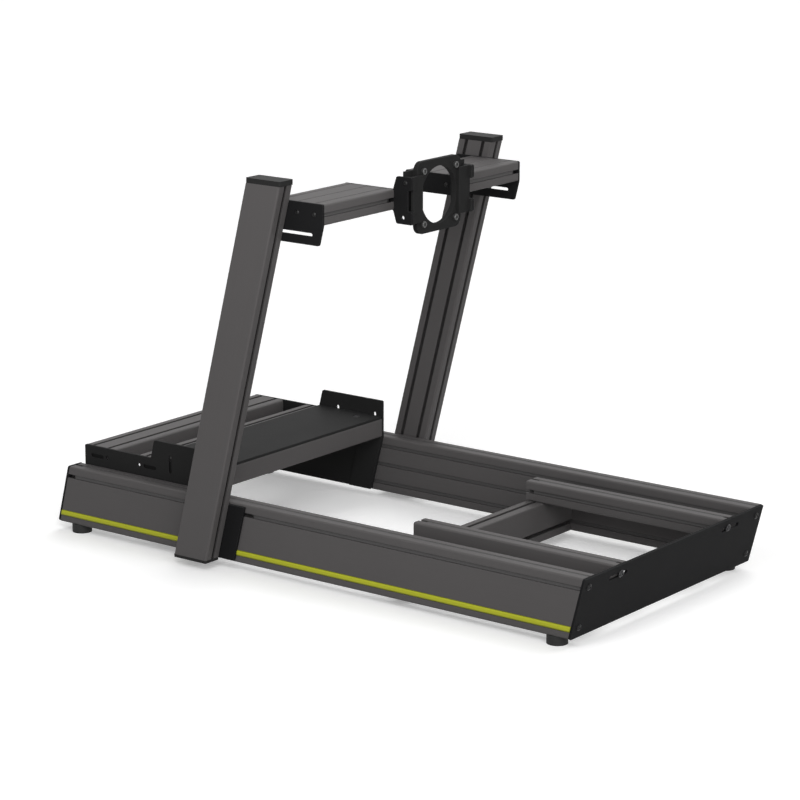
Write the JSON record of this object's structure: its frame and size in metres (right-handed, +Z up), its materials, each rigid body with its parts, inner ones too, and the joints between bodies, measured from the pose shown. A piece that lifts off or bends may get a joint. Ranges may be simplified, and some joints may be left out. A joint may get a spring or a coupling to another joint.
{
  "type": "sim racing cockpit",
  "caption": "open racing simulator frame of slotted aluminium extrusion with raked uprights, wheel base mount, pedal deck and seat rails",
  "frame": {"origin": "on the floor under the middle of the bounding box", "axes": "+X is the driver's right, +Y is forward from the seat to the pedals, +Z is up"},
  "size_m": [0.712, 1.29, 0.799],
  "materials": {
    "anodised_aluminium": "dark grey anodised, satin",
    "coated_steel": "matte black powder coat",
    "accent_plastic": "yellow-green slot cover strip",
    "cap_plastic": "black moulded",
    "foot_rubber": "black rubber"
  },
  "bodies": {
    "root": {"left_side_rail": "anodised_aluminium", "right_side_rail": "anodised_aluminium", "left_upright": "anodised_aluminium", "right_upright": "anodised_aluminium", "left_crossbar": "anodised_aluminium", "right_crossbar": "anodised_aluminium", "front_pedal_profile": "anodised_aluminium", "rear_pedal_profile": "anodised_aluminium", "heel_front_profile": "anodised_aluminium", "heel_rear_profile": "anodised_aluminium", "left_seat_rail": "anodised_aluminium", "right_seat_rail": "anodised_aluminium", "seat_cross_member": "anodised_aluminium", "rear_end_plate": "coated_steel", "front_end_plate": "coated_steel", "left_upright_bracket": "coated_steel", "right_upright_bracket": "coated_steel", "left_crossbar_bracket": "coated_steel", "right_crossbar_bracket": "coated_steel", "mount_left_side_plate": "coated_steel", "mount_right_side_plate": "coated_steel", "mount_left_angle": "coated_steel", "mount_right_angle": "coated_steel", "motor_plate": "coated_steel", "left_pedal_bracket": "coated_steel", "right_pedal_bracket": "coated_steel", "heel_plate": "coated_steel", "left_accent_strip": "accent_plastic", "right_accent_strip": "accent_plastic", "left_upright_top_cap": "cap_plastic", "right_upright_top_cap": "cap_plastic", "left_upright_bottom_cap": "cap_plastic", "right_upright_bottom_cap": "cap_plastic", "front_left_foot": "foot_rubber", "front_right_foot": "foot_rubber", "rear_left_foot": "foot_rubber", "rear_right_foot": "foot_rubber"}
  },
  "joints": []
}
